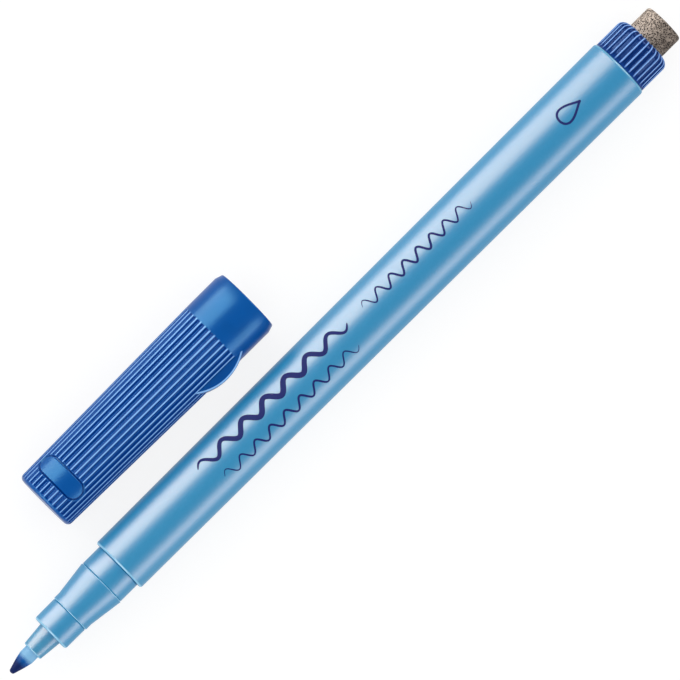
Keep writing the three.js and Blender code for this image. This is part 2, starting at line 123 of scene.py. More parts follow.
class MARKER_PG_pen(bpy.types.PropertyGroup):
    """Sizes and colours of the pen."""

    nib_radius: length("Nib radius", "Radius of the fibre rod", 1.15)
    nib_point: length("Nib point", "Radius of the rounded point", 0.34)
    nib_ground_length: length("Ground length", "Length of the ground cone at the point", 1.95)
    nib_ground_radius: length("Ground radius", "Radius where the ground cone ends", 0.92)
    nib_cone: length("Nib cone", "Length of the nib's whole cone", 3.0)
    holder_front: length("Holder front", "Radius of the nib holder at its front", 1.55)
    holder_back: length("Holder back", "Radius of the nib holder where it meets the nose", 1.89)
    holder_shank: length("Holder shank", "Radius of the part of the holder that sits in the nose", 1.58)
    nose_length: length("Nose length", "Length of the straight nose", 3.85)
    nose_front: length("Nose front", "Radius of the nose at its front", 3.0)
    nose_back: length("Nose back", "Radius of the nose at its back", 3.02)
    taper_length: length("Taper length", "Length of the long taper", 6.2)
    taper_collar: length("Taper collar", "Length of the straight band in front of the taper", 1.1)
    taper_front: length("Taper front", "Radius of the taper at its front", 3.12)
    taper_back: length("Taper back", "Radius of the bead at the back of the taper", 3.8)
    seal_length: length("Seal length", "Length of the land that the cap seals on", 3.3)
    seal_radius: length("Seal radius", "Radius of the land that the cap seals on", 3.72)
    barrel_front: length("Barrel front", "Radius of the grip tube at the shoulder", 4.37)
    barrel_rear: length("Barrel rear", "Radius of the grip tube at its rear", 4.7)
    barrel_wall: length("Barrel wall", "Wall of the grip tube", 0.9)
    plug_radius: length("Plug radius", "Radius over the plug's ribs", 4.48)
    plug_rib: length("Plug rib", "Width of a rib's crest on the plug", 0.3)
    plug_rib_height: length("Plug rib height", "Height of the ribs over their grooves", 0.24)
    eraser_radius: length("Eraser radius", "Radius of the rubber stick", 3.1)
    pore: length("Eraser pore", "Spacing of the rubber's pores", 0.22)
    barrel_blue: tint("Barrel", "Pearl blue of the barrel", "#0C8FC2")
    # The rims' colour is a painted highlight on the rounded rims of the barrel and the holder.
    rim_highlight_blue: tint("Rims", "Paler blue along the barrel's and the holder's rims", "#86CDEF")
    holder_blue: tint("Nib holder", "Clearer blue of the nib holder", "#2A90BC")
    nib_pale: tint("Nib fibre", "Fibre washed with a little ink", "#84BCE4")
    nib_wet: tint("Nib wash", "Fibre well washed with ink", "#0057A4")
    nib_ink: tint("Nib ink", "Fibre soaked with ink", "#06205C")
    plug_blue: tint("End plug", "Dark blue of the end plug", "#0A3F8E")
    # The plug's groove colour is painted shade, and its rib colour a painted highlight.
    plug_groove_shade: tint("Plug grooves", "Shade of the plug down in its grooves", "#05286C")
    plug_crest_highlight: tint("Plug ribs", "Paler blue where the plug's ribs are thin", "#8CB8F8")
    rubber: tint("Eraser", "Skin of the rubber between its pores", "#6E645C")
    rubber_grit: tint("Eraser grit", "Pale grit in the rubber's skin", "#DDCBBC")
    # Painted shade: this colour darkens the eraser's side away from the cap.
    rubber_side_shade: tint("Eraser smudge", "Shade of the rubber where ink and dust have soiled it", "#4E4C4C")
    rubber_pore: tint("Eraser pores", "Shade down in the rubber's pores", "#241E1B")
    print_navy: tint("Print", "Navy ink printed on the barrel", "#0A1F6C")
    core_ink: tint("Reservoir ink", "Wadding well soaked with ink", "#12306E")
    core_pale: tint("Reservoir wadding", "Wadding with less ink in it", "#2C5FB4")
    film_clear: tint("Film", "Faint tint of the clear film", "#E6EEF4")


class MARKER_PG_cap(bpy.types.PropertyGroup):
    """Sizes and colours of the cap."""

    end_radius: length("End radius", "Radius at the closed end", 4.75)
    collar: length("Collar", "Length of the smooth collar at the mouth", 6.0)
    rim_radius: length("Rim radius", "Radius of the mouth's rim after its bevel", 4.98)
    rim_bevel: length("Rim bevel", "Length of the bevel behind the rim", 1.1)
    flute_width: length("Flute width", "Width of a flute between its crests", 0.8)
    flute_depth: length("Flute depth", "Depth of a flute", 0.21)
    flutes: bpy.props.IntProperty(name="Flutes", description="Flutes round the cap", default=36, min=3)
    pad_centre: length("Pad centre", "Middle of the oval pad, from the closed end", 4.05)
    pad_width: length("Pad width", "Width of the oval pad along the cap", 2.55)
    moat_width: length("Moat width", "Width of the channel round the pad", 0.28)
    moat_depth: length("Moat depth", "Depth of the channel round the pad", 0.22)
    stop_centre: length("Stop centre", "Middle of the roll stop, from the closed end", 30.0)
    stop_arc: length("Stop arc", "Radius of the roll stop's rounded outline", 7.6)
    stop_reach: length("Stop reach", "Reach of the roll stop from the cap's axis", 5.84)
    stop_half: length("Stop half thickness", "Half the thickness of the roll stop", 2.8)
    bore: length("Bore", "Radius of the seal bore", 3.76)
    mouth: length("Mouth", "Radius of the wide mouth", 4.47)
    mouth_depth: length("Mouth depth", "Depth of the wide mouth", 3.2)
    blue: tint("Cap", "Deep blue of the cap", "#0453A3")
    # The grooves' colour is painted shade, and the crests' colour a painted highlight.
    groove: tint("Grooves", "Shade of the cap down in its flutes", "#043382")
    crest: tint("Crests", "Paler blue where the crests between the flutes are thin", "#90C2FA")


def share(value, low, high):
    """How far a value is on the way from low to high, held between 0 and 1."""
    return min(max((value - low) / (high - low), 0.0), 1.0)


def eased(value, low, high):
    """The same share, eased at both ends."""
    part = share(value, low, high)
    return part * part * (3 - 2 * part)


def from_axis(point):
    """How far a point is from the X axis."""
    return math.hypot(point.y, point.z)


def turned(profile, steps):
    """A surface turned round X from (x, r) points that end on the axis, or close on the first of them."""
    bm = bmesh.new()
    closed = profile[0] == profile[-1]
    points = profile[:-1] if closed else profile
    verts = [bm.verts.new((x, 0.0, r)) for x, r in points]
    pairs = list(zip(verts, verts[1:]))
    if closed:
        pairs.append((verts[-1], verts[0]))
    edges = [bm.edges.new(pair) for pair in pairs]
    bmesh.ops.spin(
        bm, geom=verts + edges, cent=(0, 0, 0), axis=(1, 0, 0), angle=TURN, steps=steps, use_merge=True,
    )
    bmesh.ops.remove_doubles(bm, verts=bm.verts, dist=MERGED)
    return bm


def round_rings(bm, rings, radius, segments):
    """Rounds the sharp rings of a turned surface that pass through the given (x, r) points."""

    def on_ring(vert):
        return any(abs(vert.co.x - x) < SAME and abs(from_axis(vert.co) - r) < SAME for x, r in rings)

    edges = [
        edge for edge in bm.edges
        if all(on_ring(v) for v in edge.verts) and abs(edge.verts[0].co.x - edge.verts[1].co.x) < SAME
    ]
    bmesh.ops.bevel(
        bm, geom=edges, offset=radius, offset_type="OFFSET", segments=segments, profile=0.5, affect="EDGES",
        material=-1,
    )


def paint_rim_highlights(bm, rings, radius, level=1.0):
    """Paints a highlight on the roundings at the given (x, r) points, in the rim attribute, up to the given
    level.
    """
    rim = bm.verts.layers.float.get("rim") or bm.verts.layers.float.new("rim")
    for vert in bm.verts:
        near = min(math.hypot(vert.co.x - x, from_axis(vert.co) - r) for x, r in rings)
        if near < radius:
            vert[rim] = level * share(near, radius, radius / 2)


def finish_piece(name, bm, place, material, body, replaced=None, sharp_angle=40):
    """Makes the piece's object in its place, shaded smooth, riding on its body and standing for its node."""
    bmesh.ops.translate(bm, verts=bm.verts, vec=place)
    bmesh.ops.recalc_face_normals(bm, faces=bm.faces)
    mesh = bpy.data.meshes.new(name)
    bm.to_mesh(mesh)
    bm.free()
    mesh.shade_smooth()
    mesh.set_sharp_from_angle(angle=math.radians(sharp_angle))
    piece = bpy.data.objects.new(name, mesh)
    bpy.context.scene.collection.objects.link(piece)
    mesh.materials.append(material)
    shading = piece.modifiers.new("Even shading", "WEIGHTED_NORMAL")
    shading.keep_sharp = True
    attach(piece, body)
    if replaced:
        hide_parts(replaced)
    return piece


def add_node(tree, kind, values=None, links=None, **settings):
    """Adds a shader node with its settings, its input values and what feeds its inputs.

    An input goes by its name, or by its number where several have one name. What feeds it is a socket, or a
    node for its first output.
    """
    node = tree.nodes.new("ShaderNode" + kind)
    for setting, value in settings.items():
        setattr(node, setting, value)
    for socket, value in (values or {}).items():
        node.inputs[socket].default_value = value
    for socket, source in (links or {}).items():
        output = source.outputs[0] if isinstance(source, bpy.types.Node) else source
        tree.links.new(output, node.inputs[socket])
    return node


def new_material(name, look, *details):
    """A material whose surface is the node that a look makes in its tree, from the given details."""
    material = bpy.data.materials.new(name)
    material.use_nodes = True
    tree = material.node_tree
    tree.nodes.clear()
    add_node(tree, "OutputMaterial", None, {"Surface": look(tree, *details)})
    return material


def toned(colour, strength):
    """A colour made darker or lighter by a factor, with full alpha."""
    return tuple(min(c * strength, 1.0) for c in colour[:3]) + (1.0,)


def pearl_polypropylene(tree, colour, pale):
    """Injection-moulded polypropylene with pearl pigment: satin, with a broad milky lustre in its highlights.

    The mesh's rim attribute is 1 along a rounded rim, where a paler colour is painted on as a highlight.
    """
    place = add_node(tree, "TexCoord").outputs["Object"]
    # Pearl platelets are about 0.05 mm. They are drawn at 0.3 mm so that their cloud just shows.
    cloud = add_node(
        tree, "TexNoise", {"Scale": 1 / (0.3 * MM), "Detail": 2.0, "Roughness": 0.6}, {"Vector": place},
    )
    shade = add_node(
        tree, "Mix", {MIX_A: toned(colour, 0.95), MIX_B: toned(colour, 1.05)},
        {MIX_FACTOR: cloud}, data_type="RGBA",
    )
    rim = add_node(tree, "Attribute", attribute_name="rim")
    skin = add_node(
        tree, "Mix", {MIX_B: pale},
        {MIX_FACTOR: rim.outputs["Fac"], MIX_A: shade.outputs[MIX_RESULT]}, data_type="RGBA",
    )
    gloss = add_node(
        tree, "MapRange", {"From Min": 0.3, "From Max": 0.7, "To Min": 0.36, "To Max": 0.41},
        {"Value": cloud},
    )
    # The tool's polish leaves a faint waviness of a few millimetres.
    waves = add_node(tree, "TexNoise", {"Scale": 1 / (4 * MM), "Detail": 1.0}, {"Vector": place})
    bump = add_node(tree, "Bump", {"Strength": 0.05, "Distance": 0.02 * MM}, {"Height": waves})
    # The pearl's lustre is a warm white.
    return add_node(
        tree, "BsdfPrincipled", {"IOR": 1.5, "Specular Tint": linear("#FFDCC2")},
        {"Base Color": skin.outputs[MIX_RESULT], "Roughness": gloss, "Normal": bump},
    )


def dyed_polypropylene(tree, colour, groove, crest, level, shine):
    """Injection-moulded polypropylene dyed right through: a soft satin skin with a fine moulded grain.

    The level is how much the skin reflects, and the shine is the colour that the dye gives its highlights.
    The mesh's attribute of painted light is 0 down in a groove, for painted shade, 0.5 on plain skin and
    1 on a crest, for a painted highlight.
    """
    place = add_node(tree, "TexCoord").outputs["Object"]
    # A spark-eroded tool leaves a grain of about 0.15 mm, and the dye is uneven over a few millimetres.
    grain = add_node(tree, "TexNoise", {"Scale": 1 / (0.15 * MM), "Detail": 3.0}, {"Vector": place})
    cloud = add_node(tree, "TexNoise", {"Scale": 1 / (2.5 * MM), "Detail": 2.0}, {"Vector": place})
    painted_relief_light = add_node(tree, "Attribute", attribute_name="painted_relief_light")
    # The colour ramp paints shade down in the grooves and a highlight on the crests.
    body = add_node(tree, "ValToRGB", None, {"Fac": painted_relief_light.outputs["Fac"]})
    stops = body.color_ramp.elements
    stops[0].position = 0.05
    stops[0].color = groove
    stops[1].position = 0.95
    stops[1].color = crest
    stops.new(0.5).color = colour
    patchy = add_node(tree, "MapRange", {"To Min": 0.9, "To Max": 1.1}, {"Value": cloud})
    shade = add_node(tree, "VectorMath", None, {0: body, 1: patchy}, operation="MULTIPLY")
    gloss = add_node(
        tree, "MapRange", {"From Min": 0.3, "From Max": 0.7, "To Min": 0.27, "To Max": 0.33},
        {"Value": grain},
    )
    bump = add_node(tree, "Bump", {"Strength": 0.2, "Distance": 0.01 * MM}, {"Height": grain})
    return add_node(
        tree, "BsdfPrincipled",
        {"IOR": 1.49, "Specular IOR Level": level, "Specular Tint": linear(shine)},
        {"Base Color": shade, "Roughness": gloss, "Normal": bump},
    )


def inked_fibre(tree, pen):
    """Bonded polyester fibre, ground to a point: matt, streaked along the rod with ink in its point."""
    place = add_node(tree, "TexCoord").outputs["Object"]
    along = add_node(tree, "SeparateXYZ", None, {"Vector": place})
    # Fibres are 0.02 mm across. They are drawn as streaks of 0.1 mm, long in the rod's direction.
    stretch = add_node(tree, "Mapping", {"Scale": (0.08, 1.0, 1.0)}, {"Vector": place})
    streaks = add_node(tree, "TexNoise", {"Scale": 1 / (0.1 * MM), "Detail": 3.0}, {"Vector": stretch})
    # The ink's front is a little further along in some streaks than in others.
    wander = add_node(tree, "MapRange", {"To Min": -0.3 * MM, "To Max": 0.3 * MM}, {"Value": streaks})
    front = add_node(tree, "Math", None, {0: along.outputs["X"], 1: wander}, operation="ADD")
    reach = add_node(
        tree, "MapRange", {"From Min": PEN_PLACE.x, "From Max": PEN_PLACE.x + HOLDER_START},
        {"Value": front},
    )
    soak = add_node(tree, "ValToRGB", None, {"Fac": reach})
    stops = soak.color_ramp.elements
    stops[0].position = 0.36
    stops[0].color = pen.nib_ink
    stops[1].position = 0.74
    stops[1].color = pen.nib_pale
    stops.new(0.58).color = pen.nib_wet
    bump = add_node(tree, "Bump", {"Strength": 0.5, "Distance": 0.03 * MM}, {"Height": streaks})
    return add_node(
        tree, "BsdfPrincipled", {"IOR": 1.5, "Roughness": 0.42, "Specular IOR Level": 0.05},
        {"Base Color": soak, "Normal": bump},
    )


def foamed_rubber(tree, pen):
    """Foamed erasing rubber, cut from a stick: matt, with painted shade in its open pores and a pale gritty
    skin.
    """
    place = add_node(tree, "TexCoord").outputs["Object"]
    pores = add_node(
        tree, "TexVoronoi", {"Scale": 1 / pen.pore, "Randomness": 1.0}, {"Vector": place}, feature="F1",
    )
    grit = add_node(
        tree, "TexNoise", {"Scale": 1 / (0.12 * MM), "Detail": 4.0, "Roughness": 0.7}, {"Vector": place},
    )
    mouth = add_node(tree, "Math", {1: 0.75}, {0: grit}, operation="MULTIPLY")
    depth = add_node(tree, "Math", None, {0: pores, 1: mouth}, operation="ADD")
    # The ramp paints shade down in the pores.
    shade = add_node(tree, "ValToRGB", None, {"Fac": depth})
    stops = shade.color_ramp.elements
    stops[0].position = 0.6
    stops[0].color = pen.rubber_pore
    stops[1].position = 0.92
    stops[1].color = pen.rubber_grit
    stops.new(0.77).color = pen.rubber
    # Painted shade darkens the side away from the cap, broken into patches of about a millimetre.
    unshaded_edge = PEN_PLACE.y + 1.6 * MM
    shaded_edge = PEN_PLACE.y - 0.7 * MM
    patches = add_node(tree, "TexNoise", {"Scale": 1 / (0.9 * MM), "Detail": 2.0}, {"Vector": place})
    side = add_node(tree, "SeparateXYZ", None, {"Vector": place})
    side_shade = add_node(
        tree, "MapRange", {"From Min": unshaded_edge, "From Max": shaded_edge, "To Min": 0.0, "To Max": 0.7},
        {"Value": side.outputs["Y"]},
    )
    uneven = add_node(
        tree, "MapRange", {"From Min": 0.3, "From Max": 0.7, "To Min": 0.7, "To Max": 1.3},
        {"Value": patches},
    )
    patchy_side_shade = add_node(tree, "Math", None, {0: side_shade, 1: uneven}, operation="MULTIPLY", use_clamp=True)
    side_shaded = add_node(
        tree, "Mix", {MIX_B: pen.rubber_side_shade}, {MIX_FACTOR: patchy_side_shade, MIX_A: shade},
        data_type="RGBA", blend_type="MULTIPLY",
    )
    bump = add_node(tree, "Bump", {"Strength": 0.8, "Distance": 0.12 * MM}, {"Height": depth})
    return add_node(
        tree, "BsdfPrincipled", {"IOR": 1.5, "Roughness": 0.9, "Specular IOR Level": 0.1},
        {"Base Color": side_shaded.outputs[MIX_RESULT], "Normal": bump},
    )


def screen_ink(tree, colour):
    """Screen-printing ink: a thin matt film with a slightly uneven colour."""
    place = add_node(tree, "TexCoord").outputs["Object"]
    # A printing screen's mesh leaves the film uneven over about 0.4 mm.
    cover = add_node(tree, "TexNoise", {"Scale": 1 / (0.4 * MM), "Detail": 2.0}, {"Vector": place})
    shade = add_node(
        tree, "Mix", {MIX_A: toned(colour, 0.85), MIX_B: colour}, {MIX_FACTOR: cover}, data_type="RGBA",
    )
    return add_node(
        tree, "BsdfPrincipled", {"IOR": 1.5, "Roughness": 0.75, "Specular IOR Level": 0.1},
        {"Base Color": shade.outputs[MIX_RESULT]},
    )


def inked_wadding(tree, pen):
    """Polyester wadding, soaked with ink: matt, with strands of 0.2 mm along the rod."""
    place = add_node(tree, "TexCoord").outputs["Object"]
    stretch = add_node(tree, "Mapping", {"Scale": (0.1, 1.0, 1.0)}, {"Vector": place})
    strands = add_node(tree, "TexNoise", {"Scale": 1 / (0.2 * MM), "Detail": 3.0}, {"Vector": stretch})
    shade = add_node(
        tree, "Mix", {MIX_A: pen.core_ink, MIX_B: pen.core_pale}, {MIX_FACTOR: strands}, data_type="RGBA",
    )
    return add_node(
        tree, "BsdfPrincipled", {"Roughness": 0.9, "IOR": 1.5}, {"Base Color": shade.outputs[MIX_RESULT]},
    )


def stretched_film(tree, pen):
    """Polypropylene film, stretched thin and half clear, with soft creases of 1.5 mm."""
    place = add_node(tree, "TexCoord").outputs["Object"]
    creases = add_node(tree, "TexNoise", {"Scale": 1 / (1.5 * MM), "Detail": 2.0}, {"Vector": place})
    bump = add_node(tree, "Bump", {"Strength": 0.3, "Distance": 0.02 * MM}, {"Height": creases})
    return add_node(
        tree, "BsdfPrincipled",
        {"Base Color": pen.film_clear, "Roughness": 0.2, "IOR": 1.49, "Alpha": 0.5},
        {"Normal": bump},
    )


def backdrop_rays(tree, rays, wall=None):
    """A node that gives 1 for the rays that show the white backdrop, and 0 for those that light the object.

    A camera ray shows it, and so does a ray of gloss or glass, by as much as the wall says.
    """
    reflected = add_node(
        tree, "Math", None,
        {0: rays.outputs["Is Glossy Ray"], 1: rays.outputs["Is Transmission Ray"]}, operation="MAXIMUM",
    )
    if wall:
        reflected = add_node(tree, "Math", None, {0: reflected, 1: wall}, operation="MULTIPLY")
    return add_node(
        tree, "Math", None, {0: rays.outputs["Is Camera Ray"], 1: reflected}, operation="MAXIMUM",
    )


def backdrop_paper(tree):
    """White paper, matt, which shows white and keeps the object's shadow."""
    rays = add_node(tree, "LightPath")
    # Where it shows it is a grey paper with a glow, and the object is lit by a plain white paper.
    shaded = add_node(tree, "BsdfDiffuse", {"Color": linear("#808080")})
    glow = add_node(tree, "Emission", {"Color": WHITE, "Strength": 0.83})
    seen = add_node(tree, "AddShader", None, {0: shaded, 1: glow})
    plain = add_node(tree, "BsdfDiffuse", {"Color": linear("#F0F0F0")})
    return add_node(tree, "MixShader", None, {0: backdrop_rays(tree, rays), 1: plain, 2: seen})


def barrel_radius(pen, station):
    """The grip tube's drafted radius at a station."""
    shoulder = NOSE_START + pen.nose_length + pen.taper_length + pen.seal_length
    along = (station - shoulder) / (BARREL_END - shoulder)
    return pen.barrel_front + (pen.barrel_rear - pen.barrel_front) * along


class MARKER_OT_barrel(bpy.types.Operator):
    """Build the moulded barrel with its nose, taper, seal land and grip tube"""

    bl_idname = "marker.barrel"
    bl_label = "Barrel"

    def execute(self, context):
        pen = context.scene.marker_pen
        taper = NOSE_START + pen.nose_length
        seal = taper + pen.taper_length
        shoulder = seal + pen.seal_length
        # Inside, the bore narrows from the grip tube to the front, and the nose grips the holder's shank.
        front_wall = 1.0 * MM
        bore_step = 1.2 * MM
        bore_front = pen.barrel_front - pen.barrel_wall
        bore_rear = pen.barrel_rear - pen.barrel_wall
        nose_bore_end = NOSE_START + 5.6 * MM
        shank = pen.holder_shank + FIT
        crease = 0.13 * MM
        corners = {
            "nose": (NOSE_START, pen.nose_front),
            "taper": (taper, pen.taper_front),
            "bead": (seal, pen.taper_back),
            "shoulder": (shoulder, pen.barrel_front),
            "rear": (BARREL_END, pen.barrel_rear),
        }
        bm = turned([
            corners["nose"],
            (taper - crease, pen.nose_back),
            (taper, pen.nose_back - crease),
            corners["taper"],
            (taper + pen.taper_collar, pen.taper_front),
            corners["bead"],
            (seal, pen.seal_radius - crease),
            (seal + crease, pen.seal_radius),
            (shoulder - crease, pen.seal_radius),
            (shoulder, pen.seal_radius - crease),
            corners["shoulder"],
            corners["rear"],
            (BARREL_END, bore_rear),
            (shoulder + bore_step, bore_front),
            (shoulder, pen.seal_radius - front_wall),
            (seal, pen.seal_radius - front_wall),
            (nose_bore_end, pen.taper_front - front_wall),
            (nose_bore_end, shank),
            (NOSE_START, shank),
            corners["nose"],
        ], steps=128)
        # Corners that are rounded alike, how far, and how strong the painted highlight on the rounding is.
        roundings = (
            (("nose", "shoulder"), 0.34 * MM, 1.0),
            (("rear",), 0.42 * MM, 0.5),
            (("taper", "bead"), 0.15 * MM, 1.0),
        )
        for names, radius, level in roundings:
            rims = [corners[name] for name in names]
            round_rings(bm, rims, radius, segments=5)
            paint_rim_highlights(bm, rims, radius, level)
        material = new_material(
            "Pearl polypropylene, moulded satin", pearl_polypropylene, pen.barrel_blue, pen.rim_highlight_blue,
        )
        finish_piece("barrel_shell", bm, PEN_PLACE, material, "pen", "barrel")
        return {"FINISHED"}


class MARKER_OT_print(bpy.types.Operator):
    """Print the plain wave strokes and the outlined drop on the barrel"""

    bl_idname = "marker.print"
    bl_label = "Print"

    def stroke(self, pen, name, path, half_width, steps, material):
        """Lays a band of ink of varying width along a path of (station, across) points on the barrel."""
        film = 0.02 * MM
        sunk = 0.012 * MM
        nudge = 1e-4
        bm = bmesh.new()
        bmesh.ops.create_grid(bm, x_segments=steps, y_segments=4, size=0.5)
        for vert in bm.verts:
            t = vert.co.x + 0.5
            ahead = (Vector(path(t + nudge)) - Vector(path(t - nudge))).normalized()
            side = Vector((-ahead.y, ahead.x))
            spot = Vector(path(t)) + side * (2 * vert.co.y * half_width(t))
            vert.co = (spot.x, spot.y, 0.0)
        bmesh.ops.remove_doubles(bm, verts=bm.verts, dist=MERGED)
        bmesh.ops.solidify(bm, geom=bm.faces, thickness=film)
        low = min(v.co.z for v in bm.verts)
        for vert in bm.verts:
            radius = barrel_radius(pen, vert.co.x)
            turn = vert.co.y / radius
            lift = radius + vert.co.z - low - sunk
            vert.co = (vert.co.x, lift * math.sin(turn), lift * math.cos(turn))
        finish_piece(name, bm, PEN_PLACE, material, "pen")

    def execute(self, context):
        pen = context.scene.marker_pen
        material = new_material("Screen ink, printed", screen_ink, pen.print_navy)

        def wave(start, end, across, height, turns):
            def path(t):
                return (start + (end - start) * t, across + height * math.sin(TURN * turns * t))
            return path

        # A stroke's ends are blunter the lower this power is.
        bluntness = 0.35

        def tapering(most):
            """A half width that narrows to nothing at both ends of a stroke, quickly at the very end."""
            return lambda t: most * max(math.sin(math.pi * min(max(t, 0.0), 1.0)), 0.0) ** bluntness

        # Each wave's start, end, place across the barrel, height and half width in millimetres, then how
        # often it swings and in how many steps it is drawn.
        waves = (
            ("print_bold_wave", 38, 67, 1.63, 0.8, 0.42, 7, 420),
            ("print_fine_wave", 40, 66, -1.75, 0.75, 0.16, 9, 420),
            ("print_long_wave", 70, 91, 1.5, 0.8, 0.17, 8, 360),
        )
        for name, start, end, across, height, half_width, turns, steps in waves:
            path = wave(start * MM, end * MM, across * MM, height * MM, turns)
            self.stroke(pen, name, path, tapering(half_width * MM), steps, material)

        drop_station = 109.6 * MM
        drop_across = 0.6 * MM
        drop_half_length = 2.0 * MM
        drop_bulge = 1.7 * MM
        drop_line = 0.17 * MM
        # The drop's point is sharper the higher this power is.
        drop_sharpness = 1.6

        def drop(t):
            angle = TURN * t
            bulge = drop_bulge * abs(math.sin(angle / 2)) ** drop_sharpness
            return (drop_station + drop_half_length * math.cos(angle), drop_across + bulge * math.sin(angle))

        self.stroke(pen, "print_drop", drop, lambda t: drop_line, 120, material)
        return {"FINISHED"}


class MARKER_OT_nib(bpy.types.Operator):
    """Build the fibre nib and the small cone that holds it"""

    bl_idname = "marker.nib"
    bl_label = "Nib and Holder"

    def execute(self, context):
        pen = context.scene.marker_pen
        sides = 64
        point = (0.0, pen.nib_point)
        nib = turned([
            (0.0, 0.0),
            point,
            (pen.nib_ground_length, pen.nib_ground_radius),
            (pen.nib_cone, pen.nib_radius),
            (NIB_END, pen.nib_radius),
            (NIB_END, 0.0),
        ], sides)
        round_rings(nib, [point], radius=0.26 * MM, segments=4)
        material = new_material("Bonded polyester fibre, ground and inked", inked_fibre, pen)
        finish_piece("nib_fibre", nib, PEN_PLACE, material, "pen", "nib")

        bore = pen.nib_radius + FIT
        rim = (HOLDER_START, pen.holder_front)
        rim_rounding = 0.2 * MM
        holder = turned([
            rim,
            (NOSE_START, pen.holder_back),
            (NOSE_START, pen.holder_shank),
            (HOLDER_END, pen.holder_shank),
            (HOLDER_END, bore),
            (HOLDER_START, bore),
            rim,
        ], sides)
        round_rings(holder, [rim], rim_rounding, segments=4)
        # Its front rim gets a painted highlight.
        paint_rim_highlights(holder, [rim], rim_rounding)
        material = new_material(
            "Blue polypropylene, moulded thin", pearl_polypropylene, pen.holder_blue, pen.rim_highlight_blue,
        )
        finish_piece("nib_holder_cone", holder, PEN_PLACE, material, "pen", "nib_holder")
        return {"FINISHED"}


class MARKER_OT_end_plug(bpy.types.Operator):
    """Build the ribbed end plug"""

    bl_idname = "marker.end_plug"
    bl_label = "End Plug"

    def execute(self, context):
        pen = context.scene.marker_pen
        ribs = 30
        steps_per_rib = 14
        radius = pen.plug_radius
        # Inside the barrel are the spigot and, in front of it, the narrow stop for the reservoir.
        stop = 1.6 * MM
        spigot = pen.barrel_rear - pen.barrel_wall - 0.07 * MM
        spigot_shoulder = BARREL_END - 8.5 * MM
        socket = pen.eraser_radius + FIT
        socket_floor = PLUG_END - 8.5 * MM
        socket_mouth = PLUG_END - 0.3 * MM
        socket_skin = socket + 0.02 * MM

        # The crown is a quarter ellipse. Each of its rings has a station, a radius and the lean of its skin.
        crown_along = 1.1 * MM
        crown_across = 1.3 * MM
        crown_steps = 16
        crown_start = PLUG_END - crown_along
        crown = []
        for i in range(1, crown_steps + 1):
            angle = QUARTER * i / crown_steps
            crown.append((
                crown_start + crown_along * math.sin(angle),
                radius - crown_across + crown_across * math.cos(angle),
                math.atan2(crown_across * math.sin(angle), crown_along * math.cos(angle)),
            ))
        side_steps = 12
        side_step = (crown_start - BARREL_END) / side_steps
        bm = turned([
            (SPIGOT_START, 0.0),
            (SPIGOT_START, stop),
            (spigot_shoulder, stop),
            (spigot_shoulder, spigot),
            (BARREL_END, spigot),
            *[(BARREL_END + side_step * i, radius) for i in range(side_steps + 1)],
            *[(x, r) for x, r, lean in crown],
            (socket_mouth, socket),
            (socket_floor, socket),
            (socket_floor, 0.0),
        ], steps=ribs * steps_per_rib)

        rib_start = BARREL_END + 0.2 * MM
        rib_full = rib_start + 0.25 * MM
        pitch = TURN / ribs
        half_rib = pen.plug_rib / 2
        # Shares of half a rib: where its side goes down, where its painted highlight goes,
        # and where the floor begins.
        side_zone = (0.45, 1.55)
        crest_zone = (0.4, 1.2)
        floor_zone = (2.2, 3.8)
        lip = socket + 0.24 * MM
        lip_start = PLUG_END - 0.1 * MM
        lip_painted_highlight = 0.8
        floor_painted_shade = 0.4
        painted_relief_light = bm.verts.layers.float.new("painted_relief_light")
        for vert in bm.verts:
            vert[painted_relief_light] = floor_painted_shade
            here = from_axis(vert.co)
            if vert.co.x < rib_start or here < socket_skin:
                continue
            # The ribs stand between grooves, which fade out towards the barrel.
            turn = math.atan2(vert.co.y, vert.co.z) % pitch - pitch / 2
            aside = abs(turn) * here / half_rib
            groove = eased(aside, *side_zone)
            fade = share(vert.co.x, rib_start, rib_full)
            depth = pen.plug_rib_height * groove * fade
            lean = max((angle for x, r, angle in crown if vert.co.x >= x - MERGED), default=0.0)
            sunk = Vector((vert.co.x - depth * math.sin(lean), here - depth * math.cos(lean)))
            # A rib's crest gets a painted highlight and its foot painted shade, and the floor between two
            # ribs painted half shade.
            off_crest = share(aside, *crest_zone)
            on_floor = groove * share(aside, *floor_zone)
            vert[painted_relief_light] = 0.5 + (0.5 - off_crest + floor_painted_shade * on_floor) * fade
            # The lip round the socket gets a painted highlight.
            if sunk.y < lip and sunk.x < lip_start:
                sunk.x = lip_start
                vert[painted_relief_light] = lip_painted_highlight
            shrink = sunk.y / here
            vert.co = (sunk.x, vert.co.y * shrink, vert.co.z * shrink)
        level = 0.14
        material = new_material(
            "Navy polypropylene, moulded", dyed_polypropylene, pen.plug_blue, pen.plug_groove_shade, pen.plug_crest_highlight,
            level, "#93C3FF",
        )
        finish_piece("end_plug_head", bm, PEN_PLACE, material, "pen", "end_plug", sharp_angle=70)
        return {"FINISHED"}


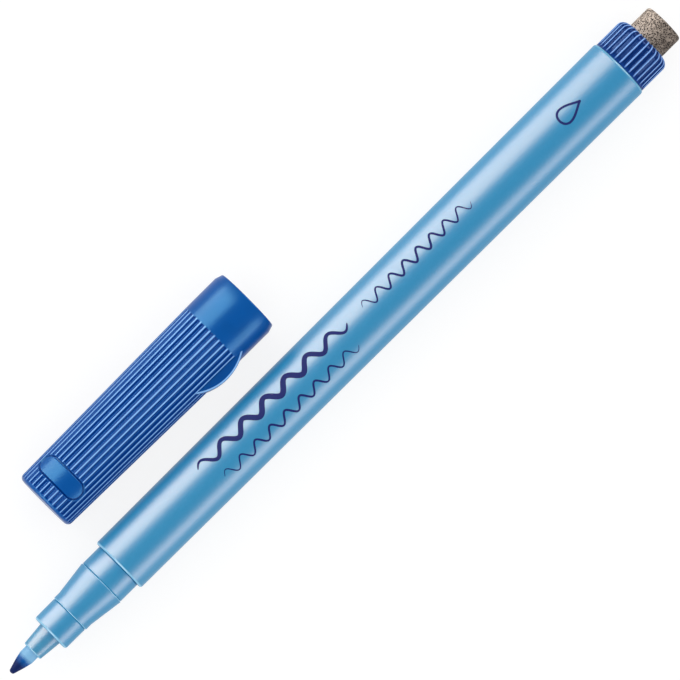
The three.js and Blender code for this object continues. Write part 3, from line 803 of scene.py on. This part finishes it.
class MARKER_OT_eraser(bpy.types.Operator):
    """Build the stick of porous rubber"""

    bl_idname = "marker.eraser"
    bl_label = "Eraser"

    def execute(self, context):
        pen = context.scene.marker_pen
        radius = pen.eraser_radius
        seen_start = PLUG_END - 0.3 * MM
        side_steps = 46
        side_step = (PEN_END - seen_start) / side_steps
        end_steps = 30
        side = [(seen_start + side_step * i, radius) for i in range(side_steps + 1)]
        end = [(PEN_END, radius * (1 - i / end_steps)) for i in range(1, end_steps + 1)]
        bm = turned([(ERASER_START, 0.0), (ERASER_START, radius), *side, *end], steps=220)

        corner = 0.45 * MM
        # The pores' mouths as a share of their spacing, their depth, and the skin's swells.
        pore_mouth = 0.42
        pore_depth = 0.14 * MM
        swell_width = 0.5 * MM
        swell_height = 0.03 * MM
        # The side's pores fade out towards the plug.
        fade_start = PLUG_END - 0.1 * MM
        fade_end = PLUG_END + 0.2 * MM
        for vert in bm.verts:
            if vert.co.x < seen_start:
                continue
            here = from_axis(vert.co)
            inward = Vector((0.0, -vert.co.y, -vert.co.z)).normalized()
            near_end = max(vert.co.x - (PEN_END - corner), 0.0)
            near_side = max(here - (radius - corner), 0.0)
            over = math.hypot(near_end, near_side) - corner
            if min(near_end, near_side, over) > 0:
                pull = over / (over + corner)
                vert.co += Vector((-near_end * pull, 0, 0)) + inward * near_side * pull
            distances = noise.voronoi(vert.co / pen.pore)[0]
            pit = pore_depth * eased(distances[0], pore_mouth, 0.0)
            pit += swell_height * (0.5 + 0.5 * noise.noise(vert.co / swell_width))
            if vert.co.x > PEN_END - corner / 2 and here < radius - corner / 2:
                vert.co.x -= pit
            else:
                vert.co += inward * pit * share(vert.co.x, fade_start, fade_end)
        material = new_material("Foamed erasing rubber, cut", foamed_rubber, pen)
        finish_piece("eraser_stick", bm, PEN_PLACE, material, "pen", "eraser", sharp_angle=180)
        return {"FINISHED"}


class MARKER_OT_cap(bpy.types.Operator):
    """Build the fluted cap with its oval pad and its half-moon roll stop"""

    bl_idname = "marker.cap"
    bl_label = "Cap"

    def roll_stop(self, cap):
        """The half-moon roll stop as a mesh: a disc that lies level and is cut flat inside the shell."""
        flat_radius = cap.stop_arc - 0.3 * MM
        highlight_radius = cap.stop_arc - 0.27 * MM
        highlight_height = cap.stop_half - 0.12 * MM
        cut_radius = 4.1 * MM
        edges = [(-cap.stop_half, cap.stop_arc), (cap.stop_half, cap.stop_arc)]
        stop = turned([
            (-cap.stop_half, 0.0),
            (-cap.stop_half, flat_radius),
            *edges,
            (cap.stop_half, flat_radius),
            (cap.stop_half, 0.0),
        ], steps=180)
        round_rings(stop, edges, radius=0.25 * MM, segments=4)
        # Its rounded edges get a painted highlight, and the rest painted shade, a little darker than plain
        # skin.
        painted_relief_light = stop.verts.layers.float.new("painted_relief_light")
        for vert in stop.verts:
            on_edge = abs(vert.co.x) > highlight_height and from_axis(vert.co) > highlight_radius
            vert[painted_relief_light] = 1.0 if on_edge else 0.35
        bmesh.ops.rotate(stop, verts=stop.verts, cent=(0, 0, 0), matrix=Matrix.Rotation(QUARTER, 3, "Z"))
        bmesh.ops.translate(stop, verts=stop.verts, vec=(cap.stop_centre, 0, cap.stop_reach - cap.stop_arc))
        cut = bmesh.ops.bisect_plane(
            stop, geom=stop.verts[:] + stop.edges[:] + stop.faces[:], plane_co=(0, 0, cut_radius),
            plane_no=(0, 0, -1), clear_outer=True,
        )
        rim = [item for item in cut["geom_cut"] if isinstance(item, bmesh.types.BMEdge)]
        bmesh.ops.contextual_create(stop, geom=rim)
        bmesh.ops.rotate(stop, verts=stop.verts, cent=(0, 0, 0), matrix=Matrix.Rotation(QUARTER, 3, "X"))
        bmesh.ops.recalc_face_normals(stop, faces=stop.faces)
        mesh = bpy.data.meshes.new("stop")
        stop.to_mesh(mesh)
        stop.free()
        return mesh

    def execute(self, context):
        cap = context.scene.marker_cap
        total = CAP_BOX[1].x - CAP_BOX[0].x
        collar_start = total - cap.collar
        steps_per_flute = 14

        def surface(distance):
            """The shell's radius at a distance from its closed end, before it is fluted."""
            return cap.end_radius + (CAP_RADIUS - cap.end_radius) * min(distance / collar_start, 1.0)

        # Where each zone of the shell ends and how far apart its rings are, fine where it is carved.
        end_edge = 0.75 * MM
        fine = 0.08 * MM
        zones = (
            (1.5 * MM, fine),
            (2.3 * MM, 0.15 * MM),
            (5.9 * MM, fine),
            (collar_start - 2.2 * MM, 2.4 * MM),
            (collar_start, fine),
            (total - cap.rim_bevel, 1.2 * MM),
        )
        distances = []
        start = end_edge
        for end, spacing in zones:
            count = max(round((end - start) / spacing), 1)
            distances += [start + (end - start) * i / count for i in range(count)]
            start = end
        end_steps = 9
        end_turns = [QUARTER * i / end_steps for i in range(end_steps)]
        rim_steps = 4
        rim_turns = [QUARTER * i / rim_steps for i in range(rim_steps + 1)]
        rim_edge = 0.22 * MM
        rim_start = total - rim_edge
        # Inside are the mouth, the seal bore with its snap groove, and the chamber for the nose.
        mouth_edge = 0.12 * MM
        ledge = total - cap.mouth_depth
        seal = ledge - 3.3 * MM
        snap = seal - 0.5 * MM
        snap_radius = 3.86 * MM
        floor = 1.3 * MM
        floor_radius = 3.5 * MM
        bm = turned([
            (0.0, 0.0),
            *[
                (end_edge * (1 - math.cos(a)), surface(end_edge) - end_edge * (1 - math.sin(a)))
                for a in end_turns
            ],
            *[(d, surface(d)) for d in distances],
            (total - cap.rim_bevel, CAP_RADIUS),
            *[
                (rim_start + rim_edge * math.sin(a), cap.rim_radius - rim_edge * (1 - math.cos(a)))
                for a in rim_turns
            ],
            (total, cap.mouth + mouth_edge),
            (total - mouth_edge, cap.mouth),
            (ledge, cap.mouth),
            (ledge, cap.bore),
            (seal, cap.bore),
            (seal, snap_radius),
            (snap, snap_radius),
            (snap, cap.bore),
            (floor, floor_radius),
            (floor, 0.0),
        ], steps=cap.flutes * steps_per_flute)

        pitch = TURN / cap.flutes
        flute_turn = math.radians(-1.5)
        flute_start = 0.35 * MM
        flute_end = collar_start - 0.85 * MM
        half_flute = cap.flute_width / 2
        pad_turn = math.radians(-11.5)
        pad_half_span = surface(cap.pad_centre) * math.sin(math.radians(48))
        pad_corner = 1.1 * MM
        moat_lip = 0.12 * MM
        # Shares of half a flute: where its crests get a painted highlight, where that fades at its ends, and
        # where the painted shade on its walls comes and goes.
        crest_zone = (0.77, 0.96)
        fade_zone = (0.3, 1.1)
        shade_zone = (0.05, 0.4)
        clear_zone = (0.62, 0.85)

        def beyond_pad(point):
            """How far a point is outside the pad's rounded outline, and less than nought on the pad."""
            from_pad = math.atan2(-point.y, point.z) - pad_turn
            if math.cos(from_pad) < 0:
                return math.inf
            out_x = abs(point.x - cap.pad_centre) - (cap.pad_width / 2 - pad_corner)
            out_y = abs(from_axis(point) * math.sin(from_pad)) - (pad_half_span - pad_corner)
            outside = math.hypot(max(out_x, 0.0), max(out_y, 0.0))
            return outside + min(max(out_x, out_y), 0.0) - pad_corner

        painted_relief_light = bm.verts.layers.float.new("painted_relief_light")
        for vert in bm.verts:
            vert[painted_relief_light] = 0.5
            distance = vert.co.x
            here = from_axis(vert.co)
            on_edge = flute_start < distance < end_edge and here > cap.bore
            if (here < surface(distance) - SAME / 2 and not on_edge) or distance > collar_start:
                continue
            # The pad lies in a moat, and the flutes stop short of it.
            beyond = beyond_pad(vert.co)
            moat = 0.0
            if 0 < beyond < cap.moat_width:
                moat = 1 - (2 * beyond / cap.moat_width - 1) ** 2
            room = eased(beyond, cap.moat_width, cap.moat_width + moat_lip * 2)
            # A flute is a rounded trough with rounded ends.
            turn = (math.atan2(-vert.co.y, vert.co.z) - flute_turn + pitch / 2) % pitch - pitch / 2
            runout = max(flute_start + half_flute - distance, distance - (flute_end - half_flute), 0.0)
            aside = abs(turn * here) / half_flute
            off_line = math.hypot(aside, runout / half_flute)
            flute = math.cos(QUARTER * min(off_line, 1.0)) ** 2 * room
            depth = max(cap.moat_depth * moat, cap.flute_depth * flute)
            # Its crests get a painted highlight, and its walls, its floor and the moat get painted shade.
            within = 1 - eased(runout / half_flute, *fade_zone)
            clear_of_moat = eased(beyond, cap.moat_width * 0.8, cap.moat_width + moat_lip)
            crest = eased(aside, *crest_zone) * within * clear_of_moat
            wall = eased(off_line, *shade_zone) * (1 - eased(off_line, *clear_zone)) * room
            vert[painted_relief_light] = 0.5 + 0.5 * crest * (1 - moat) - 0.5 * max(moat, wall, 0.3 * flute)
            lean = 0.0
            if distance < end_edge:
                lean = math.asin(min((end_edge - distance) / end_edge, 1.0))
            vert.co.x += depth * math.sin(lean)
            shrink = (here - depth * math.cos(lean)) / here
            vert.co.y *= shrink
            vert.co.z *= shrink

        # The fluted skin lies under the crests, round the pad and up to the flutes' ends.
        skin_depth = 0.3 * MM
        skin_end = flute_end - 0.2 * MM
        for face in bm.faces:
            centre = face.calc_center_median()
            in_flutes = (
                flute_start < centre.x < skin_end and from_axis(centre) > surface(centre.x) - skin_depth
            )
            if in_flutes and beyond_pad(centre) > cap.moat_width:
                face.material_index = 1
        stop_mesh = self.roll_stop(cap)
        bm.from_mesh(stop_mesh)
        bpy.data.meshes.remove(stop_mesh)
        # The smooth skin reflects more than the fluted one, and each has its own shine.
        smooth_skin, fluted_skin = [
            new_material(name, dyed_polypropylene, cap.blue, cap.groove, cap.crest, level, shine)
            for name, level, shine in (
                ("Blue polypropylene, moulded smooth", 0.18, "#9AEEFF"),
                ("Blue polypropylene, moulded fluting", 0.1, "#7CBAFF"),
            )
        ]
        shell = finish_piece("cap_shell", bm, CAP_PLACE, smooth_skin, "cap", "cap", sharp_angle=50)
        shell.data.materials.append(fluted_skin)
        return {"FINISHED"}


class MARKER_OT_core(bpy.types.Operator):
    """Finish the ink reservoir and its film, which stay as the solids have them"""

    bl_idname = "marker.core"
    bl_label = "Ink Reservoir"

    def execute(self, context):
        pen = context.scene.marker_pen
        for node, name, look in (
            ("ink_reservoir", "Polyester wadding, soaked with ink", inked_wadding),
            ("reservoir_film", "Polypropylene film, stretched", stretched_film),
        ):
            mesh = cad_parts[node].data
            mesh.materials.clear()
            mesh.materials.append(new_material(name, look, pen))
        return {"FINISHED"}


class MARKER_OT_stage(bpy.types.Operator):
    """Set up the floor, the softboxes, the world and the camera"""

    bl_idname = "marker.stage"
    bl_label = "Stage"

    def lay_floor(self, scene):
        """Lays the backdrop's paper under the object."""
        bm = bmesh.new()
        bmesh.ops.create_grid(bm, x_segments=1, y_segments=1, size=3.0)
        mesh = bpy.data.meshes.new("floor")
        bm.to_mesh(mesh)
        bm.free()
        floor = bpy.data.objects.new("floor", mesh)
        scene.collection.objects.link(floor)
        mesh.materials.append(new_material("White backdrop paper", backdrop_paper))

    def light_world(self, scene):
        """Lights matt surfaces like a white tent. Gloss and glass show a dim studio over the backdrop."""
        world = bpy.data.worlds.new("Studio")
        scene.world = world
        world.use_nodes = True
        tree = world.node_tree
        tree.nodes.clear()
        rays = add_node(tree, "LightPath")
        dim, tent, white = [
            add_node(tree, "Background", {"Color": WHITE, "Strength": strength})
            for strength in (0.08, 0.9, 1.0)
        ]
        room = add_node(tree, "MixShader", None, {0: rays.outputs["Is Diffuse Ray"], 1: dim, 2: tent})
        # The white backdrop goes up behind the floor and fades into the studio between these heights.
        place = add_node(tree, "TexCoord")
        height = add_node(tree, "SeparateXYZ", None, {"Vector": place.outputs["Generated"]})
        wall = add_node(
            tree, "MapRange", {"From Min": 0.4, "From Max": 0.25}, {"Value": height.outputs["Z"]},
        )
        mix = add_node(tree, "MixShader", None, {0: backdrop_rays(tree, rays, wall), 1: room, 2: white})
        add_node(tree, "OutputWorld", None, {"Surface": mix})

    def hang_softboxes(self, scene):
        """Hangs the softboxes, each facing the object and moved ahead along the pen towards its nib."""
        # The direction to each in turn, then its distance, width, height and shift ahead in metres, its
        # power in watts, its colour and which surfaces it lights.
        softboxes = (
            ("key_strip", (0.0, 0.838, 0.546), 0.5, 0.42, 0.63, 0.06, 13.6, "#FFF7E7", "gloss"),
            ("low_strip", (0.0, -0.964, 0.267), 0.5, 0.42, 0.26, 0.06, 3.4, "#FFFFFF", "gloss"),
            ("front_light", (-0.97, 0.0, 0.26), 0.6, 0.5, 0.3, 0.0, 6.0, "#FFFFFF", "gloss"),
            ("back_light", (0.97, 0.0, 0.26), 0.6, 0.5, 0.3, 0.0, 6.0, "#FFFFFF", "gloss"),
            ("side_light", (0.0, 0.8, 0.6), 0.6, 0.7, 0.4, 0.0, 0.6, "#FFFFFF", "matt"),
        )
        for name, towards, away, width, height, ahead, watts, colour, lit in softboxes:
            data = bpy.data.lights.new(name, "AREA")
            data.shape = "RECTANGLE"
            data.size = width
            data.size_y = height
            data.energy = watts
            data.color = linear(colour)[:3]
            lamp = bpy.data.objects.new(name, data)
            scene.collection.objects.link(lamp)
            direction = Vector(towards).normalized()
            across = Vector((-direction.y, direction.x, 0)).normalized()
            up = direction.cross(across).normalized()
            lamp.location = direction * away - Vector((ahead, 0, 0))
            lamp.rotation_euler = Matrix((across, up, direction)).transposed().to_euler()
            lamp.visible_diffuse = lit == "matt"
            lamp.visible_glossy = lit == "gloss"

    def aim_camera(self, scene):
        """Aims a long lens almost straight down, turned so that the pen rises across the picture."""
        pixels = 680
        pixels_per_mm = 7.212
        frame_width = pixels / pixels_per_mm * MM
        sensor_mm = 36.0
        away = 1.8
        tilt = math.radians(3.0)
        turn = math.radians(44.83)
        target = Vector((0.85 * MM, -6.5 * MM, PEN_PLACE.z))
        toward = Vector((-math.sin(tilt), 0.0, math.cos(tilt)))
        along = Vector((math.cos(tilt), 0.0, math.sin(tilt)))
        aside = toward.cross(along)
        right = along * math.cos(turn) - aside * math.sin(turn)
        above = along * math.sin(turn) + aside * math.cos(turn)
        data = bpy.data.cameras.new("camera")
        data.sensor_width = sensor_mm
        data.lens = sensor_mm * away / frame_width
        data.clip_start = 0.05
        data.clip_end = 20.0
        camera = bpy.data.objects.new("camera", data)
        scene.collection.objects.link(camera)
        camera.location = target + toward * away
        camera.rotation_euler = Matrix((right, above, toward)).transposed().to_euler()
        scene.camera = camera

    def execute(self, context):
        scene = context.scene
        scene.view_settings.view_transform = "Standard"
        self.lay_floor(scene)
        self.light_world(scene)
        self.hang_softboxes(scene)
        self.aim_camera(scene)
        return {"FINISHED"}


OPERATORS = (
    MARKER_OT_stage,
    MARKER_OT_barrel,
    MARKER_OT_print,
    MARKER_OT_nib,
    MARKER_OT_end_plug,
    MARKER_OT_eraser,
    MARKER_OT_cap,
    MARKER_OT_core,
)


class MARKER_PT_panel(bpy.types.Panel):
    """The marker's pieces, sizes and colours"""

    bl_label = "Marker"
    bl_idname = "MARKER_PT_panel"
    bl_space_type = "VIEW_3D"
    bl_region_type = "UI"
    bl_category = "Marker"

    def draw(self, context):
        layout = self.layout
        for operator in OPERATORS:
            layout.operator(operator.bl_idname)
        for group in (context.scene.marker_pen, context.scene.marker_cap):
            for name in group.__annotations__:
                layout.prop(group, name)


CLASSES = (MARKER_PG_pen, MARKER_PG_cap, *OPERATORS, MARKER_PT_panel)


def register():
    for item in CLASSES:
        bpy.utils.register_class(item)
    bpy.types.Scene.marker_pen = bpy.props.PointerProperty(type=MARKER_PG_pen)
    bpy.types.Scene.marker_cap = bpy.props.PointerProperty(type=MARKER_PG_cap)


def unregister():
    del bpy.types.Scene.marker_cap
    del bpy.types.Scene.marker_pen
    for item in reversed(CLASSES):
        bpy.utils.unregister_class(item)


def main():
    """Registers the add-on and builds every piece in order."""
    register()
    bpy.ops.marker.stage()
    bpy.ops.marker.barrel()
    bpy.ops.marker.print()
    bpy.ops.marker.nib()
    bpy.ops.marker.end_plug()
    bpy.ops.marker.eraser()
    bpy.ops.marker.cap()
    bpy.ops.marker.core()


if __name__ == "__main__":
    main()
